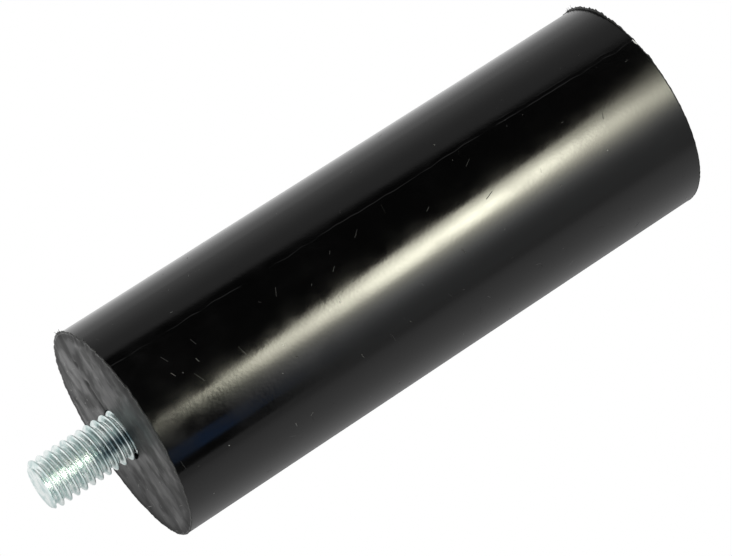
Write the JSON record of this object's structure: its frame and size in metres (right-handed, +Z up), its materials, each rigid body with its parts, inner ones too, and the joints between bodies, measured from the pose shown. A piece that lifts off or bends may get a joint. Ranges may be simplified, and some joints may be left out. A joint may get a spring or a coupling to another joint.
{
  "type": "ladder stabilizer bumper",
  "caption": "Long solid rubber bumper on a threaded steel stud, screwed into the arm of a ladder stabilizer to rest against a wall or roof.",
  "frame": {"origin": "centre of the rubber's seat face, on the stud's axis", "axes": "+X from the seat face along the rubber to the plain contact face, so the stud points along -X; +Z up with the bumper lying level, as it sits when it is screwed into a level arm"},
  "size_m": [0.127, 0.04, 0.04],
  "materials": {
    "rubber": "smooth glossy black moulded rubber with fine scratches",
    "zinc_plate": "bright blue-white zinc plating on rolled steel",
    "plain_steel": "plain pressed steel"
  },
  "bodies": {
    "root": {"rubber_body": "rubber", "threaded_stud": "zinc_plate", "anchor_washer": "plain_steel"}
  },
  "joints": []
}
